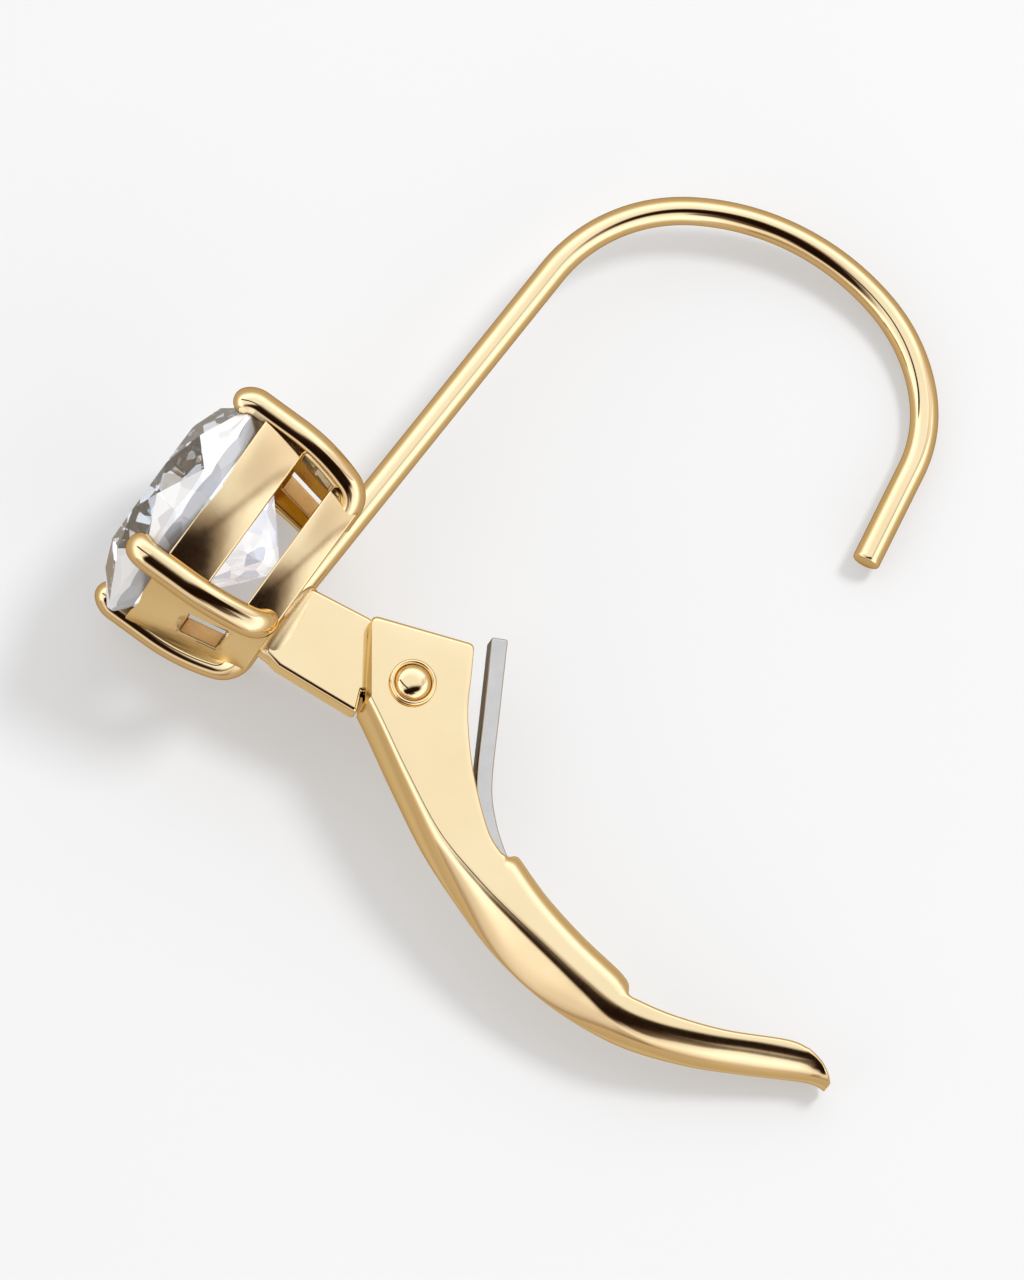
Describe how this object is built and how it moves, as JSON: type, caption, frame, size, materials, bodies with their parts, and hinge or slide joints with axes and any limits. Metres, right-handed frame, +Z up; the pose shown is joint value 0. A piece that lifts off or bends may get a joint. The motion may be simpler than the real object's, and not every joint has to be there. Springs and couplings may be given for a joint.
{
  "type": "lever-back diamond earring",
  "caption": "Lever-back earring shown open: a round brilliant in a square four-prong basket, a round hooked ear wire, and a curved lever with a flat spring hinged behind the basket.",
  "frame": {"origin": "on the surface that the open earring lies on, under the middle of its box", "axes": "+X runs from the stone's table towards the lever's tail, +Y runs along the straight ear wire from the basket to the hook, +Z is up from the surface, across the earring"},
  "size_m": [0.0226, 0.0208, 0.0065],
  "materials": {
    "setting_gold": "polished 14 ct yellow gold",
    "diamond": "cut and polished colourless diamond",
    "lever_gold": "polished 14 ct yellow gold",
    "spring_steel": "smooth grey spring steel",
    "rivet_gold": "polished 14 ct yellow gold"
  },
  "bodies": {
    "setting_body": {"setting_with_ear_wire": "setting_gold", "diamond": "diamond"},
    "lever_body": {"lever": "lever_gold", "lever_spring": "spring_steel", "hinge_rivet": "rivet_gold"}
  },
  "joints": [
    {"name": "lever_hinge", "type": "hinge", "parent": "setting_body", "child": "lever_body", "pos_m": [-0.00292, -0.00586, 0.00234], "axis": [0.1305, 0.08, 0.9882], "range_deg": [0, 60]}
  ]
}
